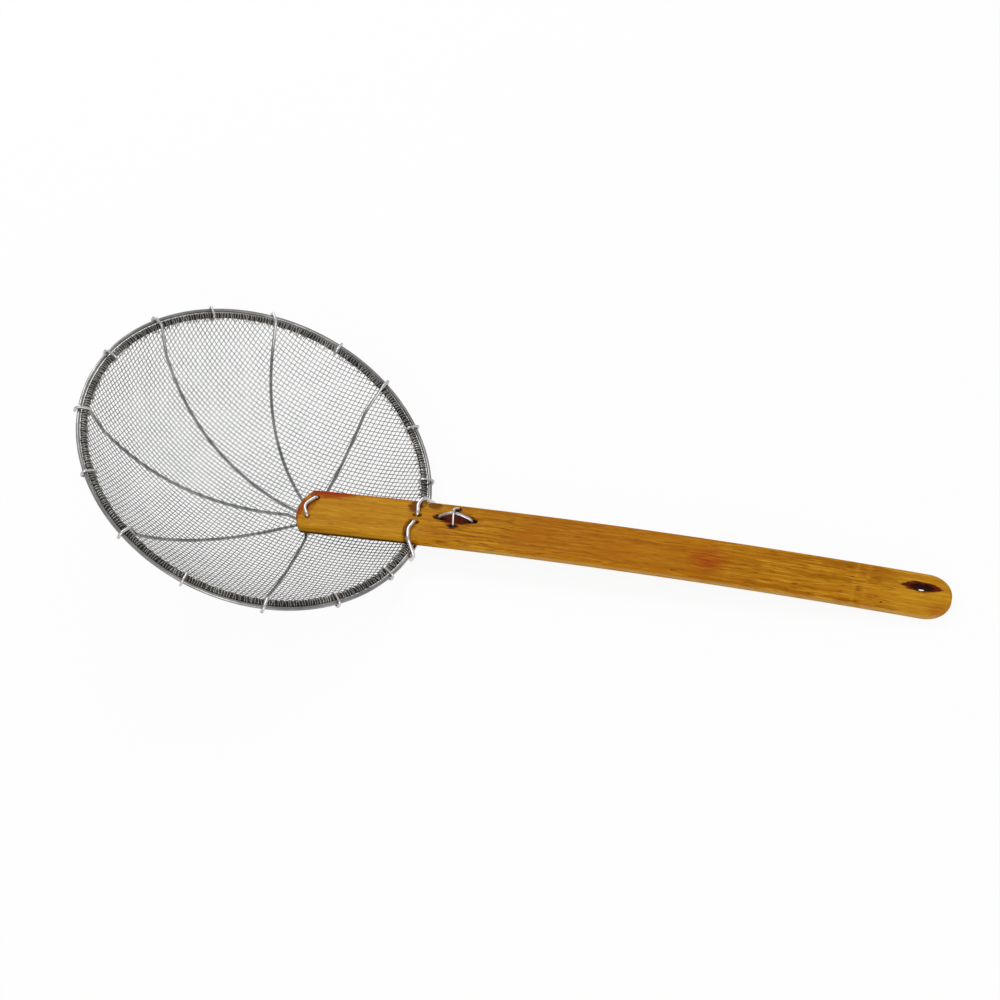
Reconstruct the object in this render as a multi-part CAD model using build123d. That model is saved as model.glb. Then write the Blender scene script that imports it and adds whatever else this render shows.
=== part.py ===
from build123d import *
from math import asin, atan2, cos, degrees, hypot, radians, sin, sqrt, tan
import os

# A spider skimmer: a woven wire bowl in a double wire rim, on a flat bamboo handle.
# Millimetres. It is put together with the rim in the XY plane, the bowl below it and the handle
# leaving along +X. The finished skimmer is then laid down as it rests on a table.

# Clearances
fit = 0.15
rib_seat = 0.25
handle_gap = 0.15

# Rim: an outer ring, and beside it a thin core ring that the mesh edge is rolled over
rim_dia = 178.2
ring_wire = 2.0
core_wire = 1.2
rim_gap = 0.4
hem_drop = 0.3

# Bowl: woven wire, two wires thick, with a shallow floor that runs into a steeper wall
mesh_wire = 0.4
bowl_depth = 30.8
floor_angle = 8.0
wall_angle = 41.0
roll_angle = 216.0

# The fine weave is drawn as a plain grid of square openings, turned a little as the weave is
grid_across = 8
grid_bar = 2.6
grid_edge = 1.0
grid_turn = -8.0
grid_part_share = 0.2

# Tubes are drawn with flats and curves with short runs, because there are so many of them
wire_flats = 6
drill_flats = 8
bend_step = 24.0
floor_bands = 1
wall_bands = 4
roll_bands = 4

# Ribs: wires hooked over the rim, let through the mesh and led under it to the handle's tip.
# Each has the azimuth of its hook, the turn of the hook from the radius, its end as a share of
# the handle's width, and its sideways bow as a share of the rim's diameter.
rib_wire = 1.7
hook_tail = 1.4
dive_run = 13.2
rib_step = 9.0
rib_play = 0.8
rib_shares = {
    "rib_left_rear": (146.4, 4.0, 0.065, -0.036),
    "rib_right_rear": (242.4, 2.0, -0.15, 0.0),
    "rib_left_middle": (104.8, 18.0, 0.24, -0.026),
}

# The cross rib has a hook at both ends and passes under the handle's tip
cross_hooks = ((60.6, 15.0), (291.7, -20.0))
cross_bow_share = 0.005
cross_splay = 1.9

# The spine rib runs on under the rim and makes an arch over the handle
spine_hook = (194.5, 6.0)
spine_tip_share = -0.05
spine_bow_share = -0.025
spine_room = 11.0
arch_near = 4.4
arch_far = 21.2
arch_across_share = 0.12
arch_drop = 4.2
arch_rise = 4.4
arch_tail = 5.2
arch_bends = (2.0, 3.0, 8.0, 3.0, 1.6)
slot_length = 4.2
slot_shift = 0.7

# Clips: small wire loops round both rings
clip_wire = 1.2
clip_gap = 0.8
clip_corner_share = 0.5
clip_azimuths = (20.4, 41.9, 80.6, 125.9, 169.0, 218.6, 265.8, 316.0, 337.8)

# Handle: a bamboo strip, slightly bent, that lies with its tip on the mesh and crosses the rim
handle_length = 320.6
handle_inside = 68.0
handle_thick = 5.0
tip_width = 25.6
butt_width = 24.4
handle_bend = 2775.0
tip_radius = 20.0
edge_cut = 1.0
hang_hole_dia = 5.0
hang_hole_inset = 14.6
hang_across_share = 0.14

# Staple at the tip, over the face and through the handle and the mesh
staple_wire = 1.8
staple_play = 0.5
staple_inset = 7.4
staple_slant = 0.55
staple_across_shares = (0.29, -0.21)
staple_bow = 3.8
staple_clinch = 7.4
staple_turn_in = 1.5
staple_bends = (1.9, 1.3, 5.0, 1.3, 1.9)

# Ties that lash the handle to the rim, one to each side
tie_wire = 1.9
tie_play = 0.5
tie_across_shares = (0.13, -0.055)
tie_azimuth = 11.4
tie_bulge = 1.9
tie_depth = 8.6
tie_gap = 0.6
tie_bends = (2.0, 1.6, 6.0, 2.2, 2.0, 2.0)

# Thin wire bound over the arch, through the handle on both sides of it
binding_wire = 1.3
binding_place = 12.9
binding_across_shares = (0.385, -0.055)
binding_gap = 1.0
binding_bends = (1.2, 2.5, 2.0, 2.5, 1.2)

# Worked out from the sizes above
mesh_thick = 2 * mesh_wire
ring_radius = rim_dia / 2 - ring_wire / 2
roll_inner = core_wire / 2 + fit
roll_mid = roll_inner + mesh_thick / 2
roll_outer = roll_inner + mesh_thick
core_radius = ring_radius - ring_wire / 2 - rim_gap - roll_outer
core_centre = (core_radius, -hem_drop)
rib_below = mesh_thick / 2 + rib_seat + rib_wire / 2
ring_clear = ring_wire / 2 + fit
roll_clear = roll_outer + fit
handle_width = (tip_width + butt_width) / 2
handle_butt = handle_length - handle_inside


def bowl_arcs():
    """Radius and centre of the floor arc and of the wall arc, which meet tangent."""
    s1, c1 = sin(radians(floor_angle)), cos(radians(floor_angle))
    s2, c2 = sin(radians(wall_angle)), cos(radians(wall_angle))
    reach = core_radius + roll_mid * s2
    lip = -hem_drop - roll_mid * c2
    # reach = s1 * floor + (s2 - s1) * wall, and bowl_depth = (1 - c1) * floor + (c1 - c2) * wall
    across = s1 * (c1 - c2) - (1 - c1) * (s2 - s1)
    floor = (reach * (c1 - c2) - bowl_depth * (s2 - s1)) / across
    wall = (s1 * bowl_depth - (1 - c1) * reach) / across
    floor_middle = lip - bowl_depth + floor
    return floor, (0, floor_middle), wall, ((floor - wall) * s1, floor_middle - (floor - wall) * c1)


floor_radius, floor_centre, wall_radius, wall_centre = bowl_arcs()


facet_rise = wall_radius * (1 - cos(radians((wall_angle - floor_angle) / wall_bands / 2)))


def shell_line(beyond):
    """Points of the bowl's section on the line that lies beyond the middle of its thickness."""
    stages = (
        (floor_centre, floor_radius, floor_angle, floor_bands),
        (wall_centre, wall_radius, wall_angle - floor_angle, wall_bands),
        (core_centre, roll_mid, roll_angle, roll_bands),
    )
    points, start = [(0, floor_centre[1] - floor_radius - beyond)], -90
    for centre, radius, turn, bands in stages:
        for number in range(1, bands + 1):
            angle = radians(start + turn * number / bands)
            reach = radius + beyond
            points.append((centre[0] + reach * cos(angle), centre[1] + reach * sin(angle)))
        start += turn
    return points


def bowl_height(r, below):
    """Height at radius r of the surface that lies below the bowl's middle surface."""
    if r < (floor_radius + below) * sin(radians(floor_angle)):
        return floor_centre[1] - sqrt((floor_radius + below) ** 2 - r**2)
    return wall_centre[1] - sqrt((wall_radius + below) ** 2 - (r - wall_centre[0]) ** 2)


def handle_seat(lean):
    """Centre of the handle's bend, when it lies on the rolled edge and leans so at the ring."""
    side = tip_width / 2 - edge_cut
    out = ring_radius - sqrt(core_radius**2 - side**2)
    height = -hem_drop + (handle_thick + roll_outer + handle_gap + sin(lean) * out) / cos(lean)
    return ring_radius + handle_bend * sin(lean), height - handle_bend * cos(lean)


def tip_room(lean):
    """Least height of the handle's underside over the mesh, in the middle and at the tip's corners."""
    centre = handle_seat(lean)
    rooms = []
    for across in (0, tip_width / 2 - edge_cut):
        inset = tip_radius - sqrt((tip_radius - edge_cut) ** 2 - across**2)
        angle = lean + (handle_inside - inset) / handle_bend
        x = centre[0] - (handle_bend - handle_thick) * sin(angle)
        z = centre[1] + (handle_bend - handle_thick) * cos(angle)
        rooms.append(z - bowl_height(hypot(x, across), -mesh_thick / 2) - facet_rise)
    return min(rooms)


def handle_lean():
    """Lean at which the handle's tip comes to lie on the mesh, found by halving."""
    low, high = 0, radians(wall_angle)
    for _ in range(32):
        lean = (low + high) / 2
        if tip_room(lean) > handle_gap:
            low = lean
        else:
            high = lean
    return low


pitch = handle_lean()
handle_centre = handle_seat(pitch)


def on_handle(along, across, lift):
    """Point over the handle's top face: along it from the rim, across it, and lifted off it."""
    lean = pitch - along / handle_bend
    reach = handle_bend + lift
    return Vector(handle_centre[0] - reach * sin(lean), across, handle_centre[1] + reach * cos(lean))


def handle_plane(along, across):
    """Plane on the top face, with x along the handle and z out of it."""
    lean = pitch - along / handle_bend
    return Plane(
        on_handle(along, across, 0), x_dir=(cos(lean), 0, sin(lean)), z_dir=(-sin(lean), 0, cos(lean))
    )


def under_mesh(x, y, below):
    return Vector(x, y, bowl_height(hypot(x, y), below))


def at_rim(azimuth, skew, run, height):
    """Point run inwards from the outer ring, on a heading turned by skew from the radius."""
    heading = radians(azimuth + 180 + skew)
    x = ring_radius * cos(radians(azimuth)) + run * cos(heading)
    y = ring_radius * sin(radians(azimuth)) + run * sin(heading)
    return Vector(x, y, height)


def rounded(points, radii):
    """The points, with each corner sharper than bend_step drawn as short runs along its arc."""
    path = [points[0]]
    for before, corner, after, radius in zip(points, points[1:], points[2:], radii):
        into, out = (corner - before).normalized(), (after - corner).normalized()
        turn = into.get_angle(out)
        if radius == 0 or turn < bend_step:
            path.append(corner)
            continue
        inwards = (out - into * into.dot(out)).normalized()
        first = corner - into * (radius * tan(radians(turn / 2)))
        count = round(turn / bend_step)
        for number in range(count + 1):
            angle = radians(turn * number / count)
            path.append(first + inwards * (radius * (1 - cos(angle))) + into * (radius * sin(angle)))
    return path + [points[-1]]


def wire(points, radii, size):
    """Wire drawn with flats, along the points with its corners bent to the radii."""
    path = Polyline(*rounded(points, radii))
    section = Plane(path @ 0, z_dir=path % 0) * RegularPolygon(size / 2, wire_flats)
    return sweep(section, path=path, transition=Transition.RIGHT)


def ring(radius, height, size):
    section = Plane.XZ * Pos(radius, height) * RegularPolygon(size / 2, wire_flats)
    return revolve(section, Axis.Z)


def hook(azimuth, skew):
    """A rib's hook: tail outside the ring, over both rings, and down through the mesh."""
    stretch = 1 / cos(radians(skew))
    over = roll_clear + rib_wire / 2
    outside = -(ring_clear + rib_wire / 2) * stretch
    hem_run = (ring_radius - core_radius) * stretch
    top = -hem_drop + over
    landing = at_rim(azimuth, skew, dive_run, 0)
    landing = under_mesh(landing.X, landing.Y, rib_below)
    dive = atan2(top - landing.Z, dive_run - hem_run)
    return [
        at_rim(azimuth, skew, outside, -hook_tail),
        at_rim(azimuth, skew, outside, top),
        at_rim(azimuth, skew, hem_run + over * tan(dive / 2) * stretch, top),
        landing,
    ]


hook_bends = [ring_clear + rib_wire / 2, roll_clear + rib_wire / 2, 2 * rib_wire]


def rib_run(start, end, bow):
    """Points under the mesh after the start, to the end in plan, bowed to one side."""
    start = Vector(start.X, start.Y)
    span = Vector(*end) - start
    side = Vector(-span.Y, span.X).normalized()
    count = round(span.length / rib_step)
    shares = [number / count for number in range(1, count + 1)]
    spots = [start + span * share + side * (bow * 4 * share * (1 - share)) for share in shares]
    return [under_mesh(spot.X, spot.Y, rib_below) for spot in spots]


def staple_leg(side, below):
    """Top of the left or right staple leg, and its foot at the depth below the mesh."""
    along = staple_inset - handle_inside + side * staple_slant
    across = staple_across_shares[side < 0] * handle_width
    top = on_handle(along, across, staple_wire / 2 + fit)
    down = -handle_plane(along, across).z_dir
    foot = top + down * handle_thick
    for _ in range(4):
        foot = top - down * ((top.Z - bowl_height(hypot(foot.X, across), below)) / down.Z)
    return top, foot


def cross_place():
    """Distance from the rim's centre to the cross rib, which lies just inside the staple's legs."""
    legs = [staple_leg(side, rib_below)[1].X for side in (1, -1)]
    return min(legs) - ((staple_wire + rib_wire) / 2 + rib_seat) / cos(pitch)


def rib(azimuth, skew, across_share, bow_share):
    start = hook(azimuth, skew)
    end = (cross_place() - rib_wire - rib_play, across_share * handle_width)
    run = rib_run(start[-1], end, bow_share * rim_dia)
    return wire(start + run, hook_bends + [0] * len(run), rib_wire)


def cross_rib():
    """One wire with a hook at each end, led under the mesh and across just inside the staple."""
    left, right = [hook(azimuth, skew) for azimuth, skew in cross_hooks]
    x, bow = cross_place(), cross_bow_share * rim_dia
    first = rib_run(left[-1], (x + cross_splay, handle_width / 2), bow)
    second = rib_run(right[-1], (x + cross_splay, -handle_width / 2), -bow)
    straight = [under_mesh(x, share * handle_width, rib_below) for share in staple_across_shares]
    run = first + straight + second[::-1]
    radii = hook_bends + [0] * len(run) + hook_bends[::-1]
    return wire(left + run + right[::-1], radii, rib_wire)


def spine_rib():
    """The rib that also carries the bowl: under the mesh, the cross rib and the rim, between the
    ties, then up through the handle, over it as an arch and down, with its end turned under it."""
    start = hook(*spine_hook)
    x, y = cross_place(), spine_tip_share * handle_width
    first = rib_run(start[-1], (x - spine_room, y), spine_bow_share * rim_dia)
    dip = under_mesh(x, y, rib_below + rib_wire + 2 * rib_seat)
    rise = under_mesh(x + spine_room, y, rib_below)
    last = rib_run(rise, (core_radius - roll_outer, sum(tie_across_shares) / 2 * handle_width), 0)
    across = arch_across_share * handle_width
    under = -handle_thick - fit - rib_wire / 2
    arch = [
        on_handle(arch_near, across, -handle_thick - arch_drop),
        on_handle(arch_near, across, rib_wire / 2),
        on_handle((arch_near + arch_far) / 2, across, arch_rise + rib_wire / 2),
        on_handle(arch_far, across, rib_wire / 2),
        on_handle(arch_far, across, under),
        on_handle(arch_far - arch_tail, across, under),
    ]
    run = first + [dip, rise] + last
    radii = hook_bends + [0] * len(run) + list(arch_bends)
    return wire(start + run + arch, radii, rib_wire)


def clip_box():
    """Runs and heights of the sides of a clip, which is a loop round both rings."""
    half = clip_wire / 2
    inside = ring_radius - core_radius + roll_clear + half
    return -(ring_clear + half), inside, -hem_drop - roll_clear - half, -hem_drop + roll_clear + half


def clip(azimuth):
    """Loop of thin wire with cut corners, closed under the rim but for a small gap."""
    outside, inside, bottom, top = clip_box()
    cut = clip_corner_share * (roll_outer + clip_wire)
    middle = (outside + inside) / 2
    corners = (
        (middle - clip_gap / 2, bottom),
        (outside + cut, bottom),
        (outside, bottom + cut),
        (outside, top - cut),
        (outside + cut, top),
        (inside - cut, top),
        (inside, top - cut),
        (inside, bottom + cut),
        (inside - cut, bottom),
        (middle + clip_gap / 2, bottom),
    )
    points = [at_rim(azimuth, 0, run, height) for run, height in corners]
    return wire(points, [0] * len(points), clip_wire)


def drill(radius):
    """Cutter for a round hole, drawn with flats, from its middle both ways."""
    outline = RegularPolygon(radius, drill_flats, major_radius=False)
    return extrude(outline, 2 * handle_thick, both=True)


def staple_hole(side):
    """Cutter for the hole of the left or right staple leg."""
    top, foot = staple_leg(side, rib_below)
    return Plane(top, z_dir=foot - top) * drill(staple_wire / 2 + staple_play)


def rib_slot(azimuth, skew):
    """Cutter for the slot in the mesh where a rib dives through it."""
    corner, landing = hook(azimuth, skew)[-2:]
    fall = atan2(corner.Z - landing.Z, hypot(corner.X - landing.X, corner.Y - landing.Y))
    out = hypot(landing.X, landing.Y) - wall_centre[0]
    slope = asin(out / (wall_radius + rib_below))
    length = (mesh_thick + rib_wire + 2 * rib_seat) / sin(fall - slope) * cos(fall) + rib_wire
    middle = at_rim(azimuth, skew, dive_run + rib_wire / 2 - length / 2, landing.Z)
    box = Box(length, rib_wire + 2 * fit, bowl_depth)
    return Pos(middle.X, middle.Y, middle.Z) * Rot(0, 0, azimuth + skew) * box


def clip_slot(azimuth):
    """Cutter for the slot in the mesh where a clip passes under the rolled edge."""
    _, inside, bottom, _ = clip_box()
    width, height = 2 * roll_outer + clip_wire / 2, clip_wire + fit
    outline = Pos(ring_radius - inside + clip_wire / 2, bottom) * Rectangle(width, height)
    angle = degrees((clip_wire + 2 * fit) / core_radius)
    return Rot(0, 0, azimuth - angle / 2) * revolve(Plane.XZ * outline, Axis.Z, angle)


def tie_spots():
    """Plan places of the two tie legs, which stand just inside the rolled edge."""
    x = core_radius - roll_outer - tie_play - tie_wire / 2
    return [(x, share * handle_width) for share in tie_across_shares]


def grid_openings():
    """Cutters for the grid of openings, square but for those that end at the bowl's edge."""
    reach = core_radius - roll_outer - grid_edge
    pitch = 2 * reach / grid_across
    side = pitch - grid_bar
    edge = Cylinder(reach, 4 * bowl_depth)
    spots = [(number + 1 / 2) * pitch for number in range(-grid_across // 2, grid_across // 2)]
    openings = []
    for x in spots:
        for y in spots:
            box = Pos(x, y, -bowl_depth / 2) * Box(side, side, 2 * bowl_depth)
            if hypot(x, y) + side * grid_part_share > reach:
                continue
            whole = hypot(abs(x) + side / 2, abs(y) + side / 2) < reach
            openings.append(Rot(0, 0, grid_turn) * (box if whole else box & edge))
    return openings


def mesh_bowl():
    """The woven bowl as one shell: floor, wall and the edge rolled inwards over the core ring."""
    section = Polyline(*shell_line(-mesh_thick / 2), *shell_line(mesh_thick / 2)[::-1], close=True)
    bowl = revolve(Plane.XZ * make_face(section), Axis.Z)
    hooks = [shares[:2] for shares in rib_shares.values()] + [spine_hook, *cross_hooks]
    cutters = [rib_slot(*place) for place in hooks] + [clip_slot(place) for place in clip_azimuths]
    for side in (1, -1):
        cutters.append(staple_hole(side))
    for x, y in tie_spots():
        cutters.append(Pos(x, y, -tie_depth / 2) * drill(tie_wire / 2 + fit))
    return bowl - cutters - grid_openings()


def handle_strip():
    """Bent strip of even thickness, longer and wider than the handle."""
    spare = tip_width / handle_bend
    start = 90 + degrees(pitch - handle_butt / handle_bend - spare)
    turn = degrees(handle_length / handle_bend + 2 * spare)
    top = CenterArc(handle_centre, handle_bend, start, turn)
    bottom = CenterArc(handle_centre, handle_bend - handle_thick, start, turn)
    ends = [Line(top @ 0, bottom @ 0), Line(top @ 1, bottom @ 1)]
    return extrude(Plane.XZ * make_face([top, bottom] + ends), tip_width, both=True)


def handle_outline():
    """Plan of the handle: a shallow arc at the tip, and tapered sides that run into a round butt."""
    half, tip_half, butt_half = handle_length / 2, tip_width / 2, butt_width / 2
    tip_side = tip_radius - half - sqrt(tip_radius**2 - tip_half**2)
    butt_centre = half - butt_half
    run = butt_centre - tip_side
    taper = atan2(tip_half, run) - asin(butt_half / hypot(tip_half, run))
    x, y = butt_centre + butt_half * sin(taper), butt_half * cos(taper)
    tip = ThreePointArc((tip_side, -tip_half), (-half, 0), (tip_side, tip_half))
    butt = ThreePointArc((x, y), (half, 0), (x, -y))
    return make_face([tip, Line(tip @ 1, butt @ 0), butt, Line(butt @ 1, tip @ 0)])


def handle():
    """The strip cut to its outline, with its edges eased and its holes drilled."""
    middle = handle_plane(handle_length / 2 - handle_inside, 0)
    body = handle_strip() & middle * extrude(handle_outline(), handle_length / 4, both=True)
    body = chamfer(body.faces().sort_by(SortBy.AREA)[-2:].edges(), edge_cut)
    for side in (1, -1):
        body -= staple_hole(side)
    for x, y in tie_spots():
        body -= Pos(x, y, on_handle(0, y, 0).Z) * drill(tie_wire / 2 + tie_play)
    for share in binding_across_shares:
        body -= handle_plane(binding_place, share * handle_width) * drill(binding_wire)
    for along in (arch_near - slot_shift, arch_far + slot_shift):
        slot = extrude(SlotOverall(slot_length, rib_wire + 4 * fit), 2 * handle_thick, both=True)
        body -= handle_plane(along, arch_across_share * handle_width) * slot
    hang = handle_plane(handle_butt - hang_hole_inset, hang_across_share * handle_width)
    return body - hang * Cylinder(hang_hole_dia / 2, 3 * handle_thick)


def tip_staple():
    """Wire laid over the tip, its legs through the handle and the mesh, turned under the ribs."""
    below = rib_below + (rib_wire + staple_wire) / 2 + fit
    legs = []
    for side in (1, -1):
        top, foot = staple_leg(side, below)
        end = foot + Vector(-staple_clinch, -side * staple_turn_in)
        legs.append([top, foot, under_mesh(end.X, end.Y, below)])
    right = staple_inset - handle_inside - staple_slant
    across = sum(staple_across_shares) / 2 * handle_width
    bow = on_handle(right - staple_bow, across, staple_wire / 2 + fit)
    return wire(legs[0][::-1] + [bow] + legs[1], staple_bends, staple_wire)


def rim_tie(side):
    """Loop from its hole over the handle's edge, round both rings and back up to the hole."""
    x, y = tie_spots()[0 if side > 0 else 1]
    lift = tie_wire / 2 + fit
    along = handle_bend * (pitch - asin((handle_centre[0] - x) / (handle_bend + lift)))
    top = on_handle(along, y, lift)
    low = Vector(x, y, -tie_depth)
    half = handle_width / 2
    bulge = on_handle(along - tie_bulge, y + side * half / 2, lift)
    edge = on_handle(along, side * (half + lift + handle_gap), lift)
    outside, depth = -(ring_clear + tie_wire / 2), ring_clear + tie_wire / 2
    over = at_rim(side * tie_azimuth, 0, outside, depth)
    outer = at_rim(side * tie_azimuth, 0, outside, -depth)
    middle = (outer + low) * 0.5
    step = (outer - low).normalized() * (tie_gap / 2)
    points = [middle - step, low, top, bulge, edge, over, outer, middle + step]
    return wire(points, tie_bends, tie_wire)


def arch_binding():
    """Thin wire over the arch, its two ends turned together under the handle."""
    left, right = [share * handle_width for share in binding_across_shares]
    under = -handle_thick - fit - binding_wire / 2
    middle = (left + right) / 2
    crown = arch_rise + rib_wire + binding_wire
    places = (
        (middle + binding_gap / 2, under),
        (left, under),
        (left, binding_wire / 2),
        (arch_across_share * handle_width, crown),
        (right, binding_wire / 2),
        (right, under),
        (middle - binding_gap / 2, under),
    )
    points = [on_handle(binding_place, across, lift) for across, lift in places]
    return wire(points, binding_bends, binding_wire)


def rest_tilt():
    """Angle that brings the lowest rib and the butt's lower edge onto one flat surface."""
    butt = on_handle(handle_butt - edge_cut, 0, -handle_thick)
    out, up = butt.X - wall_centre[0], butt.Z - wall_centre[1]
    drop = wall_radius + rib_below + rib_wire / 2
    return degrees(atan2(up, out) + asin(drop / hypot(out, up)))


pieces = {
    "handle": handle(),
    "outer_ring": ring(ring_radius, 0, ring_wire),
    "core_ring": ring(core_radius, -hem_drop, core_wire),
    "mesh_bowl": mesh_bowl(),
    "cross_rib": cross_rib(),
    "spine_rib": spine_rib(),
    "tip_staple": tip_staple(),
    "rim_tie_left": rim_tie(1),
    "rim_tie_right": rim_tie(-1),
    "arch_binding": arch_binding(),
}
for name, shares in rib_shares.items():
    pieces[name] = rib(*shares)
for number, azimuth in enumerate(clip_azimuths, 1):
    pieces[f"rim_clip_{number}"] = clip(azimuth)

# Lay the skimmer down, and put the origin under the middle of its bounding box
tilt = Rot(0, rest_tilt(), 0)
box = Compound([tilt * piece for piece in pieces.values()]).bounding_box()
lay_down = Pos(-box.center().X, -box.center().Y, -box.min.Z) * tilt
os.makedirs("parts", exist_ok=True)
for name, piece in pieces.items():
    export_step(lay_down * piece, f"parts/{name}.step")
print("tilt", rest_tilt(), "shift", -box.center().X, -box.center().Y, -box.min.Z)
print("bowl", floor_radius, floor_centre, wall_radius, wall_centre)
print("handle", degrees(pitch), handle_centre, on_handle(0, 0, 0))
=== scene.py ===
import math
from functools import partial, reduce
from itertools import accumulate
from operator import or_
import bmesh
import bpy
import numpy as np
from mathutils import Matrix, Vector, geometry


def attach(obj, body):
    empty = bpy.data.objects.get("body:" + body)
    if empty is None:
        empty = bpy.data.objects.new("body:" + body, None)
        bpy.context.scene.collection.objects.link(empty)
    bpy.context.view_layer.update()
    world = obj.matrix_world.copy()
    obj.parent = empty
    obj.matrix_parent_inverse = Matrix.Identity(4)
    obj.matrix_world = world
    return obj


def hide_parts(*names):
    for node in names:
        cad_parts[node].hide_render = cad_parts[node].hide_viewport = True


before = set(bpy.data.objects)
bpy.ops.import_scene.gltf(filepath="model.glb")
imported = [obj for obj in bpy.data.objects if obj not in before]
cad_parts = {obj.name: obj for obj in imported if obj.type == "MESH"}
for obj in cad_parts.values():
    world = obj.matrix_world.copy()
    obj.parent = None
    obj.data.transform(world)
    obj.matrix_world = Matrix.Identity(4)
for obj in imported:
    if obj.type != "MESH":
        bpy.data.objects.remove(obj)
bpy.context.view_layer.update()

# Outer ring: one turn of drawn steel wire with its ends butt welded. The mesh, the ribs and the
# handle all hang on it. Sizes are in millimetres in the rim's own frame: the ring in the XY plane
# about the origin, the bowl below it, the handle leaving along +X.
MM = 0.001
ring_radius, ring_wire = 88.1, 2.0
ring_seen = 1.84  # the wire as thick as it looks, a little thinner than the solid
RING_DULL, RING_BRIGHT = (0.22, 0.218, 0.212), (0.46, 0.455, 0.445)

packed_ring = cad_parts["outer_ring"].data
ring_spots = np.empty(len(packed_ring.vertices) * 3)
packed_ring.vertices.foreach_get("co", ring_spots)
ring_spots = ring_spots.reshape(-1, 3)
rim_centre = (ring_spots.min(0) + ring_spots.max(0)) / 2
rim_up = np.linalg.svd(ring_spots - rim_centre, full_matrices=False)[2][2]
rim_up = rim_up * np.sign(rim_up[2])
rim_axes = np.array([[rim_up[2], 0, -rim_up[0]], [0, 1, 0], rim_up])


def in_row(points):
    """Points of the rim's frame as row points in metres: turned by its axes, scaled and moved."""
    return np.asarray(points, float) @ rim_axes * MM + rim_centre


def unit(vectors):
    """Each vector divided by its length."""
    return vectors / np.linalg.norm(vectors, axis=-1, keepdims=True)


class Signal:
    """A socket of a shader's node tree. An operator on it adds a Math node."""

    def __init__(self, tree, socket=None):
        self.tree, self.socket = tree, socket

    def node(self, kind, inputs=(), output=0, **settings):
        """Adds a node of this kind: its settings first, then a value or a link for each input."""
        made = self.tree.nodes.new(kind)
        for name, setting in settings.items():
            setattr(made, name, setting)
        feed(made, dict(inputs))
        return Signal(self.tree, made.outputs[output])

    def math(self, operation, *values):
        """A Math node that does the operation on the values."""
        return self.node("ShaderNodeMath", enumerate(values), operation=operation)

    def __add__(self, other): return self.math("ADD", self, other)
    def __radd__(self, other): return self.math("ADD", other, self)
    def __sub__(self, other): return self.math("SUBTRACT", self, other)
    def __rsub__(self, other): return self.math("SUBTRACT", other, self)
    def __mul__(self, other): return self.math("MULTIPLY", self, other)
    def __rmul__(self, other): return self.math("MULTIPLY", other, self)
    def __truediv__(self, other): return self.math("DIVIDE", self, other)
    def __abs__(self): return self.math("ABSOLUTE", self)
    def __or__(self, other): return self.math("MAXIMUM", self, other)

    def step(self, low, high):
        """0 below low, 1 above high and an S curve between them."""
        values = {"Value": self, "From Min": low, "From Max": high}
        return self.node("ShaderNodeMapRange", values, interpolation_type="SMOOTHSTEP")

    def paint(self, under, over):
        """Colour under where this signal is 0, colour over where it is 1."""
        under, over = [colour if isinstance(colour, Signal) else (*colour, 1.0)
                       for colour in (under, over)]
        values = {0: self, 6: under, 7: over}
        return self.node("ShaderNodeMix", values, output=2, data_type="RGBA")

    def noise(self, scale, detail, roughness):
        """Noise from 0 to 1 at the place that this signal gives."""
        values = {"Vector": self, "Scale": scale, "Detail": detail, "Roughness": roughness}
        return self.node("ShaderNodeTexNoise", values)


def feed(node, values):
    """Sets or links each named input of the node."""
    for name, value in values.items():
        if isinstance(value, Signal):
            value.tree.links.new(value.socket, node.inputs[name])
        else:
            node.inputs[name].default_value = value


def new_finish(name):
    """A new material, its tree as a signal without a socket, and its Principled shader."""
    material = bpy.data.materials.new(name)
    material.use_nodes = True
    return material, Signal(material.node_tree), material.node_tree.nodes["Principled BSDF"]


def drawn_steel(name, dull, bright, rough, dents, painted_light=None):
    """Satin wire: clouds of tarnish and fine specks mix the dull and the bright colour, and small
    dents roughen it. Given a last colour, the piece takes it instead where its mask attribute of
    that name is 1: that lighter colour is painted light."""
    material, start, shader = new_finish(name)
    at = start.node("ShaderNodeTexCoord", output=3)
    cloud = at.noise(90.0, 4.0, 0.6).step(0.35, 0.7)
    speck = at.noise(dents, 2.0, 0.5).step(0.45, 0.75)
    colour = (cloud * 0.65 + speck * 0.35).paint(dull, bright)
    if painted_light:
        # Painted light: the lighter colour goes where the mask is 1.
        painted_light_share = start.node("ShaderNodeAttribute", output=2, attribute_name="painted_light")
        colour = (painted_light_share * (0.6 + cloud * 0.4)).paint(colour, painted_light)
    dent = at.noise(dents, 2.0, 0.6)
    bump = start.node("ShaderNodeBump", {"Height": dent, "Strength": 0.12, "Distance": 0.00006})
    feed(shader, {"Base Color": colour, "Metallic": 1.0, "Normal": bump,
                  "Roughness": cloud * -0.12 + (rough + 0.06)})
    return material


def grid_faces(rows, columns, closed):
    """Quads of a grid of points that closes round its columns, and round its rows too if asked."""
    i, j = np.meshgrid(np.arange(rows if closed else rows - 1), np.arange(columns), indexing="ij")
    below, beside = (i + 1) % rows, (j + 1) % columns
    quads = [i * columns + j, below * columns + j, below * columns + beside, i * columns + beside]
    return np.stack(quads, -1).reshape(-1, 4)


def put(name, points, faces, slot, finish, *nodes):
    """Puts a finished piece into the scene: it rides on the body and stands for the nodes."""
    data = bpy.data.meshes.new(name)
    data.from_pydata(in_row(points.reshape(-1, 3)).tolist(), [], faces)
    data.polygons.foreach_set("use_smooth", np.ones(len(data.polygons), bool))
    data.materials.append(finish)
    data.update()
    piece = bpy.data.objects.new(name, data)
    bpy.context.collection.objects.link(piece)
    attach(piece, "root")
    if nodes:
        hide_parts(*nodes)
    return data


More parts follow.
